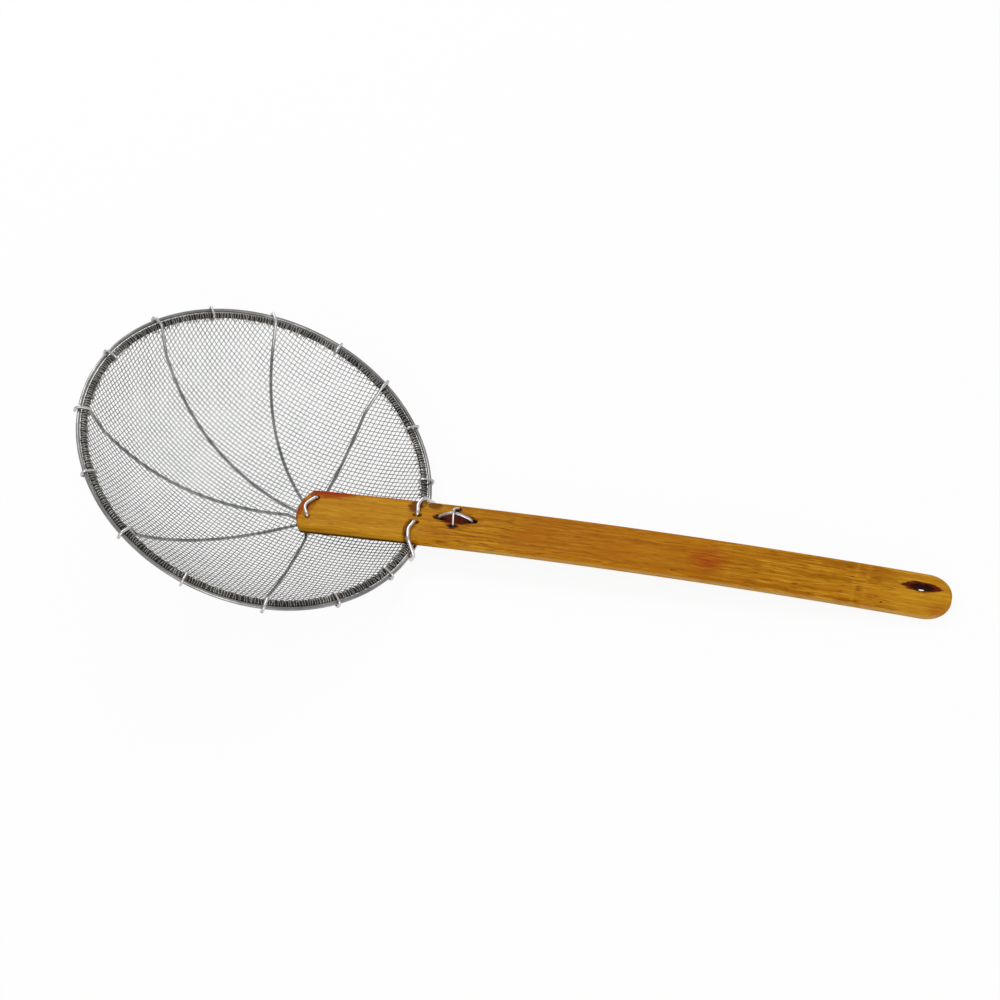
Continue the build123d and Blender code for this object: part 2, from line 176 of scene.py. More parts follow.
def hoop(radius, height, half_out, half_up, stations=360, sides=14):
    """A ring of elliptic section: at angle a and turn u it lies radius + half_out cos u from the
    middle and height + half_up sin u up."""
    a, u = np.meshgrid(np.arange(stations) * 2 * np.pi / stations,
                       np.arange(sides) * 2 * np.pi / sides, indexing="ij")
    r = radius + half_out * np.cos(u)
    points = np.stack([r * np.cos(a), r * np.sin(a), height + half_up * np.sin(u)], -1)
    return points, grid_faces(stations, sides, True).tolist()


ring_steel = drawn_steel("ring_steel", RING_DULL, RING_BRIGHT, 0.36, 2400.0)
put("rim_ring", *hoop(ring_radius, 0, ring_seen / 2, ring_seen / 2), "rim_wire", ring_steel,
    "outer_ring")

# Core ring: a thinner ring of the same wire just inside the outer one. The mesh is rolled over it,
# so that it shows only where the mesh's bent ends leave a gap.
core_wire, hem_drop, hem_gap = 1.2, 0.3, 0.4
fit = 0.15  # the room between two pieces that lie on each other
mesh_half = 0.4
roll_mid = core_wire / 2 + fit + mesh_half
roll_outer = roll_mid + mesh_half
core_radius = ring_radius - ring_wire / 2 - hem_gap - roll_outer
put("hem_core", *hoop(core_radius, -hem_drop, core_wire / 2, core_wire / 2, sides=8), "rim_wire",
    ring_steel, "core_ring")

# Mesh bowl: plain woven steel wire, pressed into a shallow dish that steepens to the rim. Every
# wire goes over and under those that cross it, and pressing has bent both sets sideways a little.
mesh_pitch, mesh_wire, mesh_crimp, mesh_inset = 2.2, 0.44, 0.2, 0.2
bowl_depth, floor_angle, wall_angle = 30.8, math.radians(8), math.radians(41)
mesh_edge = core_radius - mesh_inset
cross_lean, cross_bend, cross_fan = 0.178, 0.00048, 0.0006
long_lean, long_bend, long_curl = 0.138, 0.00096, 0.0000111
mesh_steel = drawn_steel("mesh_steel", (0.25, 0.25, 0.246), (0.47, 0.47, 0.46), 0.38, 1400.0)


def bowl_arcs():
    """Radius and centre of the floor arc and of the wall arc, which meet tangent."""
    s1, c1, s2, c2 = [turn(angle) for angle in (floor_angle, wall_angle)
                      for turn in (math.sin, math.cos)]
    reach, lip = core_radius + roll_mid * s2, -hem_drop - roll_mid * c2
    across = s1 * (c1 - c2) - (1 - c1) * (s2 - s1)
    floor = (reach * (c1 - c2) - bowl_depth * (s2 - s1)) / across
    wall = (s1 * bowl_depth - (1 - c1) * reach) / across
    middle = lip - bowl_depth + floor
    return floor, middle, wall, (floor - wall) * s1, middle - (floor - wall) * c1


floor_radius, floor_z, wall_radius, wall_x, wall_z = bowl_arcs()


def bowl_height(r, below=0.0):
    """Height at radius r, below the mesh's middle surface: on the floor arc, then the wall arc."""
    r = np.asarray(r, float)
    floor = floor_z - np.sqrt(np.maximum((floor_radius + below) ** 2 - r**2, 0))
    wall = wall_z - np.sqrt(np.maximum((wall_radius + below) ** 2 - (r - wall_x) ** 2, 0))
    return np.where(r < (floor_radius + below) * math.sin(floor_angle), floor, wall)


def even_place(number):
    """Length u on the dish from its middle to wire number, and the same in plan, where the slope
    shortens it: u (1 - (u / wall_radius) squared / 6)."""
    u = number * mesh_pitch
    return u, u * (1 - (u / wall_radius) ** 2 / 6)


def cross_plan(number, y):
    """x of cross wire number at y: its even place, leaning, bending and fanning a little."""
    u, place = even_place(number)
    return place + cross_lean * y - cross_bend * y**2 - cross_fan * u * y


def long_plan(number, x):
    """y of long wire number at x: its even place, leaning and bending to the bowl's far side."""
    _, place = even_place(number)
    return place - long_lean * x + long_bend * x**2 - long_curl * np.minimum(x, 0) ** 3


def number_at(plan, across, along):
    """Number of the wire whose plan passes through a place, by four steps of Newton's rule."""
    number = (across - plan(0 * along, along)) / mesh_pitch
    for _ in range(4):
        slope = (plan(number + 0.01, along) - plan(number - 0.01, along)) / 0.02
        number = number - (plan(number, along) - across) / slope
    return number


def round_section(side, up, half, sides, first=0.0):
    """Points round a wire, from its centre: half times side cos u + up sin u, u from first on."""
    turns = np.arange(sides)[:, None] * 2 * np.pi / sides + first
    return half * (side[..., None, :] * np.cos(turns) + up[..., None, :] * np.sin(turns))


def woven(plan, other, swap, sign, per_pitch=3, sides=4, spare=12, scan_spots=2001, fewest=40):
    """All wires of one set. Along each, the height is the dish's plus or minus the crimp times the
    cosine of pi times the number of the wire that it meets, so that it goes over one and under
    the next. The plan gives x from y, or y from x where the two are swapped."""
    spots, faces, base = [], [], 0
    reach = int(mesh_edge / mesh_pitch) + spare
    scan = np.linspace(-mesh_edge, mesh_edge, scan_spots)
    for number in range(-reach, reach + 1):
        inside = np.hypot(plan(number, scan), scan) < mesh_edge
        if inside.sum() < fewest:
            continue
        ends = scan[inside][[0, -1]]
        count = int((ends[1] - ends[0]) / mesh_pitch * per_pitch) + 2
        t = np.linspace(*ends, count)
        a = plan(number, t)
        phase = number_at(other, t, a) + number
        xy = np.stack([t, a] if swap else [a, t], -1)
        lift = sign * mesh_crimp * np.cos(np.pi * phase)
        centre = np.c_[xy, bowl_height(np.hypot(*xy.T)) + lift]
        tangent = unit(np.gradient(centre, axis=0))
        side = unit(np.cross(tangent, np.c_[-xy / wall_radius, np.ones(count)]))
        up = np.cross(side, tangent)
        round_wire = round_section(side, up, mesh_wire / 2, sides, np.pi / sides)
        spots.append((centre[:, None] + round_wire).reshape(-1, 3))
        faces.append(grid_faces(count, sides, False) + base)
        base += count * sides
    return np.concatenate(spots), np.concatenate(faces).tolist()


put("mesh_cross_wires", *woven(cross_plan, long_plan, False, 1), "mesh_wire", mesh_steel,
    "mesh_bowl")
put("mesh_long_wires", *woven(long_plan, cross_plan, True, -1), "mesh_wire", mesh_steel)

# Hem: the ends of the mesh's wires, bent inwards over the core ring and pressed flat against it.
# They make a band of close rungs beside the ring, and their cut ends stand out from it. The rolled
# mesh under the rungs is coloured near black: painted shade between and behind the rungs, beside
# the ring.
hem_middle, hem_out, hem_up = core_radius + 0.08, 1.55, 1.2
rung_count, rung_wire = 400, 0.5
rung_first, rung_sweep, rung_last = -150, 460, 172
free_from, free_share, free_in, free_down = 0.70, 0.30, 0.62, 0.78
free_shortest, free_longest = 0.8, 2.2
uneven_pitch, uneven_slant, uneven_size = 0.25, 0.012, 0.05
hem_steel = drawn_steel("hem_steel", (0.20, 0.195, 0.18), (0.56, 0.54, 0.50), 0.36, 2200.0)
# Near-black steel: painted shade on the rolled mesh under the hem's rungs.
hem_painted_shade = drawn_steel("hem_painted_shade", (0.03, 0.028, 0.025), (0.12, 0.11, 0.10), 0.6, 2200.0)


def hem_rungs(steps=22, sides=5, seed=3):
    """Short wires side by side. Each runs round the hem's ellipse, from under it over the top to
    its inner side, and its last part leaves the ellipse towards the bowl's middle."""
    rng = np.random.default_rng(seed)
    number = np.arange(rung_count) + rng.uniform(-uneven_pitch, uneven_pitch, rung_count)
    azimuth = number * 2 * np.pi / rung_count
    slant = rng.normal(0, uneven_slant, rung_count)
    t = np.linspace(0, 1, steps)
    turn = np.radians(np.minimum(rung_first + rung_sweep * t, rung_last))
    free = rng.uniform(free_shortest, free_longest, rung_count)[:, None]
    run = np.maximum(t - free_from, 0) / free_share * free
    stand = 1 + uneven_size * rng.uniform(-1, 1, rung_count)[:, None]
    r = hem_middle + hem_out * stand * np.cos(turn) - run * free_in
    z = -hem_drop + hem_up * stand * np.sin(turn) - run * free_down
    a = azimuth[:, None] + slant[:, None] * (t - 0.5) * 2
    centre = np.stack([r * np.cos(a), r * np.sin(a), z], -1)
    tangent = unit(np.gradient(centre, axis=1))
    side = np.stack([-np.sin(a), np.cos(a), 0 * a], -1)
    points = centre[:, :, None] + round_section(side, np.cross(side, tangent), rung_wire / 2, sides)
    starts = np.arange(rung_count)[:, None, None] * steps * sides
    return points, (grid_faces(steps, sides, False) + starts).reshape(-1, 4).tolist()


put("hem_wires", *hem_rungs(), "mesh_wire", hem_steel)
# The rolled mesh under the rungs, a tube coloured near black: painted shade.
put("hem_fill", *hoop(hem_middle, -hem_drop, hem_out, hem_up, sides=10), "mesh_wire", hem_painted_shade)

# Ribs: stiffer steel wires that carry the mesh. Each is hooked over both rings, let down through
# the mesh and led under it to the handle's tip. Where a rib lies above the mesh, as at the hooks,
# its colour is painted lighter: painted light.
rib_wire, rib_seat, rib_end_gap = 1.7, 0.25, 0.8
rib_seen = 1.58  # as thick as it looks
rib_below = mesh_half + rib_seat + rib_wire / 2
hook_fit, dive_run, tail_drop = 0.04, 13.2, 1.4
ring_clear, roll_clear = ring_wire / 2 + hook_fit, roll_outer + hook_fit
hook_bends = [ring_clear + rib_wire / 2, roll_clear + rib_wire / 2, 2 * rib_wire]
cut_ease, cut_share = 0.2, 0.7
handle_thick, handle_bend, handle_width, handle_inside = 5.0, 2775.0, 25.0, 68.0
lean = math.radians(28.501550563843928)
bend_x, bend_z = 1412.2815568917974, -2429.309723839828
staple_wire, staple_inset, staple_slant, staple_lift = 1.8, 7.4, 0.55, 1.05
staple_shares = {1: 0.29, -1: -0.21}
# For each rib: its hook's azimuth and skew, its end's place across the handle as a share of the
# handle's width, and its bow.
rib_table = {
    "rib_left_rear": (146.4, 4.0, 0.065, -6.42),
    "rib_right_rear": (242.4, 2.0, -0.15, 0.0),
    "rib_left_middle": (104.8, 18.0, 0.24, -4.63),
}
# Lighter colour painted on the ribs where they lie above the mesh: painted light.
RIB_PAINTED_LIGHT = (0.66, 0.64, 0.64)
rib_steel = drawn_steel("rib_steel", (0.20, 0.20, 0.20), (0.42, 0.42, 0.415), 0.36, 2200.0, RIB_PAINTED_LIGHT)


def at_rim(azimuth, skew, run, height):
    """Point run inwards from the outer ring, on a heading turned by skew from the radius."""
    a, h = math.radians(azimuth), math.radians(azimuth + 180 + skew)
    return np.array([ring_radius * math.cos(a) + run * math.cos(h),
                     ring_radius * math.sin(a) + run * math.sin(h), height])


def under_mesh(x, y, below):
    """The point at x and y that lies below the mesh's middle surface."""
    return np.array([x, y, float(bowl_height(math.hypot(x, y), below))])


def on_handle(along, across, lift):
    """Point over the handle's top face: along it from the rim, across it, and lifted off it. The
    face is an arc of radius handle_bend that leans by lean at the rim."""
    turn = lean - np.asarray(along, float) / handle_bend
    reach = handle_bend + np.asarray(lift, float)
    x, z = bend_x - reach * np.sin(turn), bend_z + reach * np.cos(turn)
    return np.stack(np.broadcast_arrays(x, across, z), -1)


def bent(points, radii, step=10.0):
    """The path through the points, with each corner that has a radius bent to an arc of it."""
    path = [points[0]]
    for before, corner, after, radius in zip(points, points[1:], points[2:], radii):
        into, out = unit(corner - before), unit(after - corner)
        turn = math.acos(max(-1.0, min(1.0, float(into @ out))))
        if radius == 0 or turn < 0.02:
            path.append(corner)
            continue
        inwards = unit(out - into * (into @ out))
        first = corner - into * radius * math.tan(turn / 2)
        angle = np.linspace(0, turn, max(2, round(math.degrees(turn) / step)) + 1)[:, None]
        path += list(first + inwards * radius * (1 - np.cos(angle)) + into * radius * np.sin(angle))
    return np.array(path + [points[-1]])


def carried(side, along):
    """The side vector turned as little as it can be, to stand square to the next run along."""
    return unit(side - along * (side @ along))


def bent_wire(name, path, size, slot, finish, *nodes, sides=12):
    """A round section carried along the path: centre plus half the size times side cos u +
    up sin u, where side and up stay square to the path and turn with it as little as they can. The
    cut ends are eased. The mask attribute is the path's height over the mesh in mm, 1 at most, and
    marks where the wire is painted lighter: painted light above the mesh."""
    first, last = unit(path[1] - path[0]), unit(path[-1] - path[-2])
    path = np.concatenate([path[:1], path[:1] + first * cut_ease, path[1:-1],
                           path[-1:] - last * cut_ease, path[-1:]])
    runs = unit(np.diff(path, axis=0))
    along = unit(np.concatenate([runs[:1], runs[:-1] + runs[1:], runs[-1:]]))
    square = unit(np.cross(along[0], np.eye(3)[np.argmin(np.abs(along[0]))]))
    side = np.array(list(accumulate(along, carried, initial=square))[1:])
    share = np.ones((len(path), 1, 1))
    share[[0, -1]] = cut_share
    points = path[:, None] + round_section(side, np.cross(side, along), size / 2 * share, sides)
    end = len(path) * sides - 1
    caps = [list(range(sides)), list(range(end, end - sides, -1))]
    faces = grid_faces(len(path), sides, False).tolist() + caps
    data = put(name, points, faces, slot, finish, *nodes)
    # Painted light: the mask is 1 where the wire lies 1 mm or more above the mesh.
    over = path[:, 2] - bowl_height(np.minimum(np.hypot(path[:, 0], path[:, 1]), core_radius))
    painted_light = np.repeat(np.clip(over, 0, 1), sides)
    data.attributes.new("painted_light", "FLOAT", "POINT").data.foreach_set("value", painted_light)


def hook(azimuth, skew):
    """A rib's hook: its tail outside the ring, over both rings, and down through the mesh. The dive
    goes straight from the bend over the hem to where the rib meets the mesh from below."""
    stretch = 1 / math.cos(math.radians(skew))
    over = roll_clear + rib_wire / 2
    outside = -(ring_clear + rib_wire / 2) * stretch
    hem_run = (ring_radius - core_radius) * stretch
    top = -hem_drop + over
    landing = at_rim(azimuth, skew, dive_run, 0)
    landing = under_mesh(landing[0], landing[1], rib_below)
    dive = math.atan2(top - landing[2], dive_run - hem_run)
    return [at_rim(azimuth, skew, outside, -tail_drop), at_rim(azimuth, skew, outside, top),
            at_rim(azimuth, skew, hem_run + over * math.tan(dive / 2) * stretch, top), landing]


def rib_run(start, end, bow, step=3.0):
    """Points under the mesh after the start, to the end in plan. The bow moves the middle to one
    side, and the others by 4 share (1 - share) of it."""
    start, end = np.asarray(start[:2]), np.asarray(end[:2])
    span = end - start
    side = np.array([-span[1], span[0]]) / np.linalg.norm(span)
    count = round(np.linalg.norm(span) / step)
    shares = np.arange(1, count + 1)[:, None] / count
    spots = start + span * shares + side * bow * 4 * shares * (1 - shares)
    return [under_mesh(*spot, rib_below) for spot in spots]


def staple_leg(side, below):
    """Top of the staple's left (1) or right (-1) leg, and its foot, where the leg's line meets the
    surface that lies below the mesh's, in four steps."""
    along = staple_inset - handle_inside + side * staple_slant
    across = staple_shares[side] * handle_width
    top = on_handle(along, across, staple_lift)
    down = on_handle(along, across, -1) - on_handle(along, across, 0)
    foot = top + down * handle_thick
    for _ in range(4):
        drop = top[2] - float(bowl_height(math.hypot(foot[0], across), below))
        foot = top - down * (drop / down[2])
    return top, foot


inner_foot = min(staple_leg(side, rib_below)[1][0] for side in staple_shares)
cross_x = inner_foot - ((rib_wire + staple_wire) / 2 + rib_seat) / math.cos(lean)
for name, (azimuth, skew, across, bow) in rib_table.items():
    start = hook(azimuth, skew)
    run = rib_run(start[-1], (cross_x - rib_wire - rib_end_gap, across * handle_width), bow)
    path = bent(start + run, hook_bends + [0] * len(run))
    bent_wire(name + "_wire", path, rib_seen, "rib_wire", rib_steel, name)

# Cross rib: one wire with a hook at both ends, that passes across under the handle's tip just
# inside the staple's legs, where the other ribs end on it.
cross_splay, cross_bow = 1.9, 0.89
left, right = hook(60.6, 15.0), hook(291.7, -20.0)
first = rib_run(left[-1], (cross_x + cross_splay, handle_width / 2), cross_bow)
second = rib_run(right[-1], (cross_x + cross_splay, -handle_width / 2), -cross_bow)
straight = [under_mesh(cross_x, share * handle_width, rib_below)
            for share in staple_shares.values()]
run = first + straight + second[::-1]
path = bent(left + run + right[::-1], hook_bends + [0] * len(run) + hook_bends[::-1])
bent_wire("cross_rib_wire", path, rib_seen, "rib_wire", rib_steel, "cross_rib")

# Spine rib: the long rib. It runs under the mesh, the cross rib and the rim, comes up through the
# handle, makes an arch over it and goes down again, and so it carries the bowl.
spine_across, spine_bow, dip_run = -0.05 * handle_width, -4.46, 11.0
rim_across, arch_across = 0.0375 * handle_width, 0.12 * handle_width
arch_in, arch_top, arch_out, arch_end = 4.4, 12.8, 21.2, 16.0
arch_rise, arch_drop, arch_bends = 4.4, 4.2, [2.0, 3.0, 8.0, 3.0, 1.6]
start = hook(194.5, 6.0)
first = rib_run(start[-1], (cross_x - dip_run, spine_across), spine_bow)
dip = under_mesh(cross_x, spine_across, rib_below + rib_wire + 2 * rib_seat)
rise = under_mesh(cross_x + dip_run, spine_across, rib_below)
last = rib_run(rise, (core_radius - roll_outer, rim_across), 0)
over, under = rib_wire / 2, -handle_thick - fit - rib_wire / 2
arch = [on_handle(along, arch_across, lift) for along, lift in (
    (arch_in, -handle_thick - arch_drop), (arch_in, over), (arch_top, arch_rise + over),
    (arch_out, over), (arch_out, under), (arch_end, under))]
run = first + [dip, rise] + last
path = bent(start + run + arch, hook_bends + [0] * len(run) + arch_bends)
bent_wire("spine_rib_wire", path, rib_seen, "rib_wire", rib_steel, "spine_rib")

# Rim clips: nine short pieces of thin wire, each bent round both rings so that its ends meet under
# them, which hold the hem to the ring.
clip_wire, clip_bend, clip_gap = 1.2, 1.6, 0.4
clip_azimuths = (20.4, 41.9, 80.6, 125.9, 169.0, 218.6, 265.8, 316.0, 337.8)
tie_steel = drawn_steel("tie_steel", (0.50, 0.465, 0.475), (0.82, 0.78, 0.79), 0.28, 2600.0)
outside = -(ring_clear + clip_wire / 2)
inside = ring_radius - core_radius + roll_clear + clip_wire / 2
bottom, top = -hem_drop - roll_clear - clip_wire / 2, -hem_drop + roll_clear + clip_wire / 2
middle = (outside + inside) / 2
corners = ((middle - clip_gap, bottom), (outside, bottom), (outside, top), (inside, top),
           (inside, bottom), (middle + clip_gap, bottom))
for number, azimuth in enumerate(clip_azimuths, 1):
    path = bent([at_rim(azimuth, 0, run, height) for run, height in corners], [clip_bend] * 4)
    bent_wire(f"clip_{number}", path, clip_wire, "tie_wire", tie_steel, f"rim_clip_{number}")

# Tip staple: a wire laid over the face at the handle's tip. Its legs pass through the handle and
# the mesh and are turned back under the ribs.
staple_bow, staple_middle = 3.8, 0.04 * handle_width
clinch_run, clinch_across = 7.4, 1.5
staple_bends = [1.9, 1.3, 5.0, 1.3, 1.9]
below = rib_below + (rib_wire + staple_wire) / 2 + fit
legs = []
for side in (1, -1):
    top, foot = staple_leg(side, below)
    end = foot + np.array([-clinch_run, -side * clinch_across, 0])
    legs.append([top, foot, under_mesh(end[0], end[1], below)])
bow = on_handle(staple_inset - handle_inside - staple_slant - staple_bow, staple_middle,
                staple_wire / 2 + fit)
path = bent(legs[0][::-1] + [bow] + legs[1], staple_bends)
bent_wire("staple", path, staple_wire, "tie_wire", tie_steel, "tip_staple")

# Rim ties: two loops of wire that lash the handle to the rim. Each goes from its hole over the
# handle's edge, down round both rings, and back up to the hole from below.
tie_wire, tie_azimuth, tie_bulge = 1.9, 11.4, 1.9
tie_room, tie_depth, tie_end_gap = 0.5, 8.6, 0.3
tie_shares, tie_bends = {1: 0.13, -1: -0.055}, [2.0, 1.6, 6.0, 2.2, 2.0, 2.0]
tie_x = core_radius - roll_outer - tie_room - tie_wire / 2
tie_reach = ring_wire / 2 + fit + tie_wire / 2
tie_lift, half_width = tie_wire / 2 + fit, handle_width / 2


def along_over(x, lift):
    """How far along the handle its arc, lifted off the face, passes over x."""
    return handle_bend * (lean - math.asin((bend_x - x) / (handle_bend + lift)))


along = along_over(tie_x, tie_lift)
for side, name in ((1, "left"), (-1, "right")):
    y = tie_shares[side] * handle_width
    low = np.array([tie_x, y, -tie_depth])
    over = at_rim(side * tie_azimuth, 0, -tie_reach, tie_reach)
    outer = at_rim(side * tie_azimuth, 0, -tie_reach, -tie_reach)
    centre, step = (outer + low) / 2, unit(outer - low) * tie_end_gap
    points = [centre - step, low, on_handle(along, y, tie_lift),
              on_handle(along - tie_bulge, y + side * half_width / 2, tie_lift),
              on_handle(along, side * (half_width + tie_lift + fit), tie_lift),
              over, outer, centre + step]
    bent_wire("tie_" + name, bent(points, tie_bends), tie_wire, "tie_wire", tie_steel,
              "rim_tie_" + name)

# Arch binding: thin wire bound once over the arch, through the handle on both sides of it, with
# its ends turned together underneath.
binding_wire, binding_place, binding_gap = 1.3, 12.9, 0.5
binding_left, binding_right = 0.385 * handle_width, -0.055 * handle_width
binding_bends = [1.2, 2.5, 2.0, 2.5, 1.2]
under, over = -handle_thick - fit - binding_wire / 2, binding_wire / 2
crown = arch_rise + rib_wire + binding_wire
middle = (binding_left + binding_right) / 2
places = ((middle + binding_gap, under), (binding_left, under), (binding_left, over),
          (arch_across, crown),
          (binding_right, over), (binding_right, under), (middle - binding_gap, under))
path = bent([on_handle(binding_place, across, lift) for across, lift in places], binding_bends)
bent_wire("binding", path, binding_wire, "tie_wire", tie_steel, "arch_binding")

# Handle: a strip split from a bamboo culm and planed flat, with eased edges, a shallow round tip
# and a round butt. The wires' holes and the hanging hole are burnt through, which scorches it.
handle_length, tip_width, butt_width = 320.6, 25.6, 24.4
tip_radius, tip_corner, edge_round, hole_ease = 20.0, 2.5, 1.0, 0.25
staple_hole, tie_hole, arch_hole, hanging_hole = 1.25, 1.2, 1.05, 2.5
tie_slot, arch_slot, arch_slots = 1.2, 1.0, (3.7, 21.9)
hanging_inset, hanging_across = 14.6, 0.14 * handle_width
butt_centre = handle_length - handle_inside - butt_width / 2
# Bamboo colours. The pale side colour is painted light, and the near black serves both the char
# marks and painted shade.
GOLD, GOLD_DEEP, GOLD_PALE = (0.44, 0.180, 0.004), (0.30, 0.100, 0.001), (0.60, 0.31, 0.020)
GOLD_RED, BROWN, SIDE_PAINTED_LIGHT = (0.35, 0.105, 0.002), (0.16, 0.045, 0.001), (0.44, 0.27, 0.08)
SCORCH, BURN_RED, CHAR_AND_SHADE_BLACK = (0.29, 0.028, 0.001), (0.085, 0.010, 0.002), (0.010, 0.002, 0.001)
# Burnt places, each a lens: where it lies along and across the handle, its half length and half
# width, the level at which it fades, and its strength.
scorches = (
    (-56.0, 14.6, 24.0, 8.0, 0.5, 1.0), (-28.0, 14.0, 36.0, 3.0, 0.5, 0.8),
    (-68.5, 0.0, 4.6, 18.0, 0.5, 0.8), (-62.5, 3.0, 3.6, 8.5, 0.5, 0.5),
    (-3.5, -16.0, 4.5, 5.0, 0.5, 0.6), (250.0, -9.0, 9.0, 5.0, 0.5, 0.3))
# The long burn lens at 12.9 along, round the arch, holds burn marks at the arch's ends with the
# arch's shadow painted between them.
burns = (
    (-9.0, 8.5, 4.6, 5.0, 0.5, 0.8), (0.5, 10.5, 4.4, 3.2, 0.5, 0.7),
    (-9.2, -6.5, 2.4, 7.5, 0.5, 0.75), (12.9, 3.6, 12.4, 4.0, 0.8, 1.0),
    (12.5, -1.6, 3.6, 2.4, 0.5, 0.9), (12.2, 9.4, 2.6, 2.4, 0.5, 0.9),
    (-60.8, 7.5, 2.6, 2.6, 0.5, 0.8), (238.0, 3.4, 10.0, 3.4, 0.85, 1.0))
chars = (
    (238.2, 3.2, 6.0, 2.6, 0.8, 1.0), (5.0, 2.8, 4.6, 2.0, 0.5, 0.8),
    (20.6, 2.8, 4.6, 2.0, 0.5, 0.8), (11.6, 8.8, 1.8, 1.8, 0.5, 0.9),
    (12.0, -1.6, 2.4, 1.8, 0.5, 0.9), (-8.6, -8.5, 1.2, 9.5, 0.5, 0.7),
    (-63.4, 2.0, 1.0, 6.0, 0.5, 0.7), (-4.4, 12.5, 1.2, 4.0, 0.5, 0.6),
    (221.3, -10.2, 0.8, 0.7, 0.5, 0.8), (123.0, -10.6, 0.8, 0.6, 0.5, 0.6))
stain = (138.2, -1.5, 13.0, 12.0, -0.2)


def outline(inset):
    """Points round the handle's plan, moved inwards by the inset: the butt's arc, one side, a
    small corner, the tip's arc and the mirrored corner and side. The corner's arc touches the
    side and the tip's arc, and its place is found by halving."""
    half, tip_half, butt_half = handle_length / 2, tip_width / 2, butt_width / 2
    tip_side = tip_radius - half - math.sqrt(tip_radius**2 - tip_half**2)
    run = half - butt_half - tip_side
    taper = math.atan2(tip_half, run) - math.asin(butt_half / math.hypot(tip_half, run))
    centre = np.array([tip_radius - half, 0.0])
    low, high = -half, centre[0]
    for _ in range(40):
        x = (low + high) / 2
        side = tip_half - (x - tip_side) * math.tan(taper) - tip_corner / math.cos(taper)
        outside = math.hypot(x - centre[0], side) > tip_radius - tip_corner
        low, high = (x, high) if outside else (low, x)
    start = math.atan2(side, x - centre[0])

    def arc(middle, radius, angles):
        """Middle plus the radius less the inset, times cos and sin of each angle."""
        return middle + (radius - inset) * np.stack([np.cos(angles), np.sin(angles)], -1)

    butt_turn = np.linspace(taper, math.pi - taper, 41) - math.pi / 2
    butt = arc([half - butt_half, 0], butt_half, butt_turn)
    upper = arc([x, side], tip_corner, np.linspace(math.pi / 2 - taper, start, 9))
    tip = arc(centre, tip_radius, np.linspace(start, 2 * math.pi - start, 33)[1:-1])
    long_side = butt[-1] + (upper[0] - butt[-1]) * np.linspace(0, 1, 62)[1:-1, None]
    points = [butt, long_side, upper, tip, (upper * [1, -1])[::-1], (long_side * [1, -1])[::-1]]
    return np.concatenate(points) + [half - handle_inside, 0]


def slot_outline(x, y, run, radius, more):
    """Points round a slot: a circle of the radius and more about x and y, whose two halves are
    moved apart along the handle by run."""
    turn = np.linspace(0, 2 * math.pi, 33)[:-1] + math.pi / 32
    along = x + np.sign(np.cos(turn)) * run + (radius + more) * np.cos(turn)
    return np.stack([along, y + (radius + more) * np.sin(turn)], -1)


# Each hole: its place along and across the handle, a slot's run, and its radius.
tie_along = along_over(tie_x, 0)
holes = np.array(
    [(staple_inset - handle_inside + side * staple_slant, share * handle_width, 0, staple_hole)
     for side, share in staple_shares.items()]
    + [(tie_along, share * handle_width, tie_slot, tie_hole) for share in tie_shares.values()]
    + [(binding_place, across, 0, arch_hole) for across in (binding_left, binding_right)]
    + [(along, arch_across, arch_slot, arch_hole) for along in arch_slots]
    + [(handle_length - handle_inside - hanging_inset, hanging_across, 0, hanging_hole)])


def in_holes(spots, more):
    """Which spots lie in a hole whose radius is larger by more."""
    away = np.abs(spots[:, None, :2] - holes[:, :2])
    distance = np.hypot(np.maximum(away[..., 0] - holes[:, 2], 0), away[..., 1])
    return (distance < holes[:, 3] + more).any(1)


def face_triangles():
    """Plan points and triangles of a flat face: between the inset outline and the holes, with a
    narrow band along each edge, and loose points inside, 5 mm apart along the handle and 4.5 mm
    across it, so that the triangles can follow the handle's bend."""
    edge_band, hole_band, hole_room = 0.25, 0.2, 1.2
    loops = [outline(edge_round), outline(edge_round + edge_band)]
    loops += [slot_outline(*hole, hole_ease + more) for hole in holes for more in (0, hole_band)]
    starts = np.cumsum([0] + [len(loop) for loop in loops])
    edges = [(start + i, start + (i + 1) % len(loop))
             for start, loop in zip(starts, loops) for i in range(len(loop))]
    x, y = np.meshgrid(np.arange(-64, 248, 5.0), np.arange(-9, 9.1, 4.5), indexing="ij")
    x, y = x.ravel(), y.ravel()
    in_tip = np.hypot(x + handle_inside - tip_radius, y) < tip_radius - 1.5
    in_strip = (x > -50) & (x < butt_centre)
    in_butt = np.hypot(x - butt_centre, y) < butt_width / 2 - 2
    loose = np.stack([x, y], -1)
    loose = loose[~in_holes(loose, hole_room) & (in_tip | in_strip | in_butt)]
    points = [Vector(spot) for spot in np.concatenate(loops + [loose]).tolist()]
    spots, _, triangles, *_ = geometry.delaunay_2d_cdt(points, edges, [], 1, 1e-5)
    spots = np.array([tuple(spot) for spot in spots])
    triangles = np.array([tuple(triangle) for triangle in triangles])
    return spots, triangles[~in_holes(spots[triangles].mean(1), hole_ease * 0.9)]


def level(plan, lift):
    """Plan points as points of the plate at the height lift."""
    return np.c_[plan, np.full(len(plan), lift)]


def eased_wall(plan_at, ease):
    """Points and quads of an upright wall with a quarter round at both faces: at turn u of the
    upper one the loop lies ease (1 - cos u) down and ease (1 - sin u) back into the plate, and
    the lower one mirrors it. The function plan_at gives the loop that lies so far back."""
    turn = np.linspace(0, math.pi / 2, 7)
    drop, back = ease * (1 - np.cos(turn)), ease * (1 - np.sin(turn))
    lifts, backs = np.r_[-drop, (drop - handle_thick)[::-1]], np.r_[back, back[::-1]]
    loops = [level(plan_at(far), lift) for lift, far in zip(lifts, backs)]
    return np.concatenate(loops), grid_faces(len(loops), len(loops[0]), False)


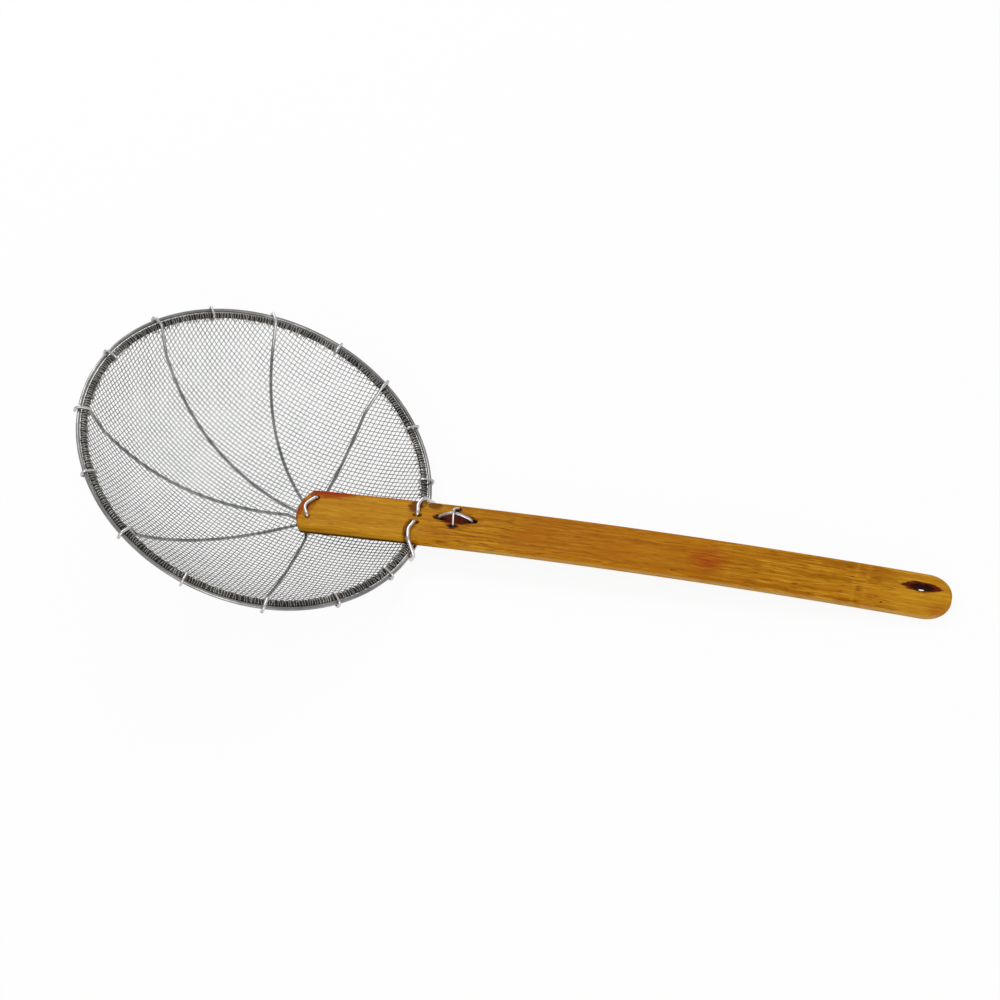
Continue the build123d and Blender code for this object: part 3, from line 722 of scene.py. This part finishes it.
def handle_plate(finish):
    """The plate in its own plan: the outer wall, the holes' walls, whose quads turn the other way,
    and two flat faces. It is then bent onto the handle's arc."""
    parts = [eased_wall(outline, edge_round)]
    for hole in holes:
        points, quads = eased_wall(partial(slot_outline, *hole), hole_ease)
        parts.append((points, quads[:, ::-1]))
    spots, triangles = face_triangles()
    parts += [(level(spots, 0.0), triangles), (level(spots, -handle_thick), triangles[:, ::-1])]
    starts = np.cumsum([0] + [len(points) for points, _ in parts])
    faces = [face for start, (_, part) in zip(starts, parts) for face in (part + start).tolist()]
    data = bpy.data.meshes.new("handle_plate")
    data.from_pydata(np.concatenate([points for points, _ in parts]).tolist(), [], faces)
    shape = bmesh.new()
    shape.from_mesh(data)
    bmesh.ops.remove_doubles(shape, verts=shape.verts, dist=0.002)
    bmesh.ops.recalc_face_normals(shape, faces=shape.faces)
    shape.to_mesh(data)
    shape.free()
    flat = np.empty(len(data.vertices) * 3)
    data.vertices.foreach_get("co", flat)
    faces = [list(face.vertices) for face in data.polygons]
    plate = put("handle_plate", on_handle(*flat.reshape(-1, 3).T), faces, "bamboo", finish,
                "handle")
    plate.attributes.new("flat", "FLOAT_VECTOR", "POINT").data.foreach_set("vector", flat)


def bamboo():
    """Golden bamboo: long fibres, short dark dashes, a node, a cloudy stain and burnt places, all
    in the plate's own plan in mm, which is kept in the attribute flat. Painted light makes the
    lower part of the right side paler beyond the rim, and painted shade darkens the lower sides and
    the underside towards the tip."""
    material, start, shader = new_finish("bamboo")
    plan = start.node("ShaderNodeAttribute", output=1, attribute_name="flat")
    s, y, z = [plan.node("ShaderNodeSeparateXYZ", {0: plan}, output=axis) for axis in range(3)]

    def grain(along, across, deep, detail, roughness):
        """Noise that is stretched along the handle: cycles per mm along, across and into it."""
        place = plan.node("ShaderNodeCombineXYZ", {0: s * along, 1: across, 2: z * deep})
        return place.noise(1.0, detail, roughness)

    waver = y + (grain(0.03, y * 0.05, 0.1, 2.0, 0.5) - 0.5) * 3.0
    streak = grain(0.012, waver * 0.40, 0.3, 3.0, 0.6)
    fibre = grain(0.05, waver * 0.95, 0.9, 3.0, 0.7)
    dash = grain(0.14, waver * 1.0, 1.2, 2.0, 0.6)
    fine = grain(0.10, y * 2.6, 2.5, 2.0, 0.6)
    broad = grain(0.03, y * 0.10, 0.1, 3.0, 0.5)
    colour = streak.step(0.36, 0.62).paint(GOLD_DEEP, GOLD)
    colour = (fibre.step(0.50, 0.66) * 0.75).paint(colour, GOLD_PALE)
    colour = (dash.step(0.53, 0.68) * 0.75).paint(colour, BROWN)
    colour = (fine.step(0.50, 0.75) * 0.35).paint(colour, GOLD_DEEP)
    reddens = (s + (broad - 0.5) * 20.0).step(38.0, 52.0)
    pales = (s + (broad - 0.5) * 40.0).step(120.0, 175.0)
    middle = reddens * (1.0 - pales)
    colour = (middle * 0.45 + broad.step(0.52, 0.72) * 0.35).paint(colour, GOLD_RED)
    ends = (1.0 - s.step(-12.0, 8.0)) | s.step(215.0, 235.0)
    colour = (ends * 0.30).paint(colour, GOLD_PALE)
    ragged = (dash - 0.5) * 0.9 + (fibre - 0.5) * 0.7

    def lens(along, across, half_along, half_across, soft):
        """1 in the middle of a lens whose points lie along the handle, and 0 outside it."""
        run = (s - along) / half_along
        wide = abs((y - across) / half_across)
        return 1.0 - (run * run + wide + ragged).step(soft, 1.1)

    def strongest(marks):
        """The highest of the marks' lenses, each times its strength."""
        return reduce(or_, [lens(*mark) * strength for *mark, strength in marks])

    stained = lens(*stain) * (dash.step(0.36, 0.54) * 0.45 + 0.40)
    colour = (strongest(scorches) | stained).paint(colour, SCORCH)
    colour = strongest(burns).paint(colour, BURN_RED)
    colour = (strongest(chars) * 0.9).paint(colour, CHAR_AND_SHADE_BLACK)
    down, right = 0.0 - z, 0.0 - y
    # Painted light: the lower part of the right side face, and the underside by it, is painted
    # paler beyond the rim, with the dashes showing through.
    lower = down.step(1.0, 3.0) * right.step(8.0, 11.0) * (dash.step(0.3, 0.6) * 0.5 + 0.3)
    colour = (lower * s.step(6.0, 40.0)).paint(colour, SIDE_PAINTED_LIGHT)
    # Painted shade: the lower part of both side faces and the underside, from the rim towards the
    # tip, darkened near black.
    painted_shade_below = down.step(2.4, 3.4) * (1.0 - s.step(-6.0, 0.0))
    colour = (painted_shade_below * 0.85).paint(colour, CHAR_AND_SHADE_BLACK)
    rows = abs(abs(s - 210.3) - 2.6 + (dash - 0.5) * 2.0)
    node = (1.0 - rows.step(0.4, 1.6)) * grain(0.15, y * 1.1, 1.0, 1.0, 0.5).step(0.45, 0.60)
    colour = (node * 0.35).paint(colour, GOLD_PALE)
    height = streak * 0.25 + fibre * 0.45 + dash * 0.3 - node * 0.3
    bump = start.node("ShaderNodeBump", {"Height": height, "Strength": 0.35, "Distance": 0.0004})
    feed(shader, {"Base Color": colour, "Roughness": fibre * 0.2 + 0.42, "Normal": bump,
                  "Specular IOR Level": 0.04})
    return material


handle_plate(bamboo())

# Floor: a white sheet a hair below the object. To the eye and in the metal it is plain white, and
# it keeps a part of the shadow.
floor_half, floor_drop = 6.0, 0.0004
floor_corners = [(floor_half * x, floor_half * y, -floor_drop)
                 for x, y in ((-1, -1), (1, -1), (1, 1), (-1, 1))]
floor_data = bpy.data.meshes.new("floor")
floor_data.from_pydata(floor_corners, [], [(0, 1, 2, 3)])
floor = bpy.data.objects.new("floor", floor_data)
bpy.context.collection.objects.link(floor)
floor_white, start, shader = new_finish("floor_white")
feed(shader, {"Base Color": (0.82, 0.82, 0.82, 1.0), "Roughness": 0.9})
rays = start.node("ShaderNodeLightPath").socket.node.outputs
camera_ray, glossy_ray, transmission_ray = [
    Signal(start.tree, rays[f"Is {kind} Ray"]) for kind in ("Camera", "Glossy", "Transmission")]
seen = camera_ray + glossy_ray
seen = (seen + transmission_ray).math("MINIMUM", seen, 1.0) * 0.92
glow = start.node("ShaderNodeEmission", {"Color": (1.0, 1.0, 1.0, 1.0)})
lit = Signal(start.tree, shader.outputs[0])
blend = start.node("ShaderNodeMixShader", {0: seen, 1: lit, 2: glow})
feed(start.tree.nodes["Material Output"], {"Surface": blend})
floor_data.materials.append(floor_white)

# Light: a soft white sky, a large lamp behind on the left and another low in front. Their level is
# plain, so that each colour shows about as it is written.
world = bpy.data.worlds.new("studio")
world.use_nodes = True
bpy.context.scene.world = world
feed(world.node_tree.nodes["Background"], {"Color": (1.0, 1.0, 1.0, 1.0), "Strength": 0.65})


def lamp(name, spot, size, power):
    """A square area lamp that faces the object."""
    data = bpy.data.lights.new(name, "AREA")
    data.shape = "SQUARE"
    data.size = size
    data.energy = power
    light = bpy.data.objects.new(name, data)
    bpy.context.collection.objects.link(light)
    light.location = spot
    light.rotation_euler = Vector(spot).to_track_quat("Z", "Y").to_euler()


lamp("key", (-0.7, 0.9, 1.3), 0.8, 11.0)
lamp("fill", (0.5, -1.5, 0.7), 1.0, 12.0)

# Camera: where the photograph was taken from. Its place and the directions of its right, its up
# and its back are in the rim's frame.
camera_spot = (-2.8402, -768.5969, 929.2264)
camera_axes = np.array([
    [0.899299, 0.264950, 0.347941],
    [-0.426206, 0.709292, 0.561475],
    [-0.098029, -0.653228, 0.750788]])
camera_data = bpy.data.cameras.new("camera")
camera_data.sensor_width = 36.0
camera_data.lens = 89.286
camera_data.clip_end = 10.0
camera = bpy.data.objects.new("camera", camera_data)
bpy.context.collection.objects.link(camera)
pose = np.eye(4)
pose[:3, :3] = (camera_axes @ rim_axes).T
pose[:3, 3] = in_row(camera_spot)
camera.matrix_world = Matrix(pose)
bpy.context.scene.camera = camera
bpy.context.scene.view_settings.view_transform = "Standard"
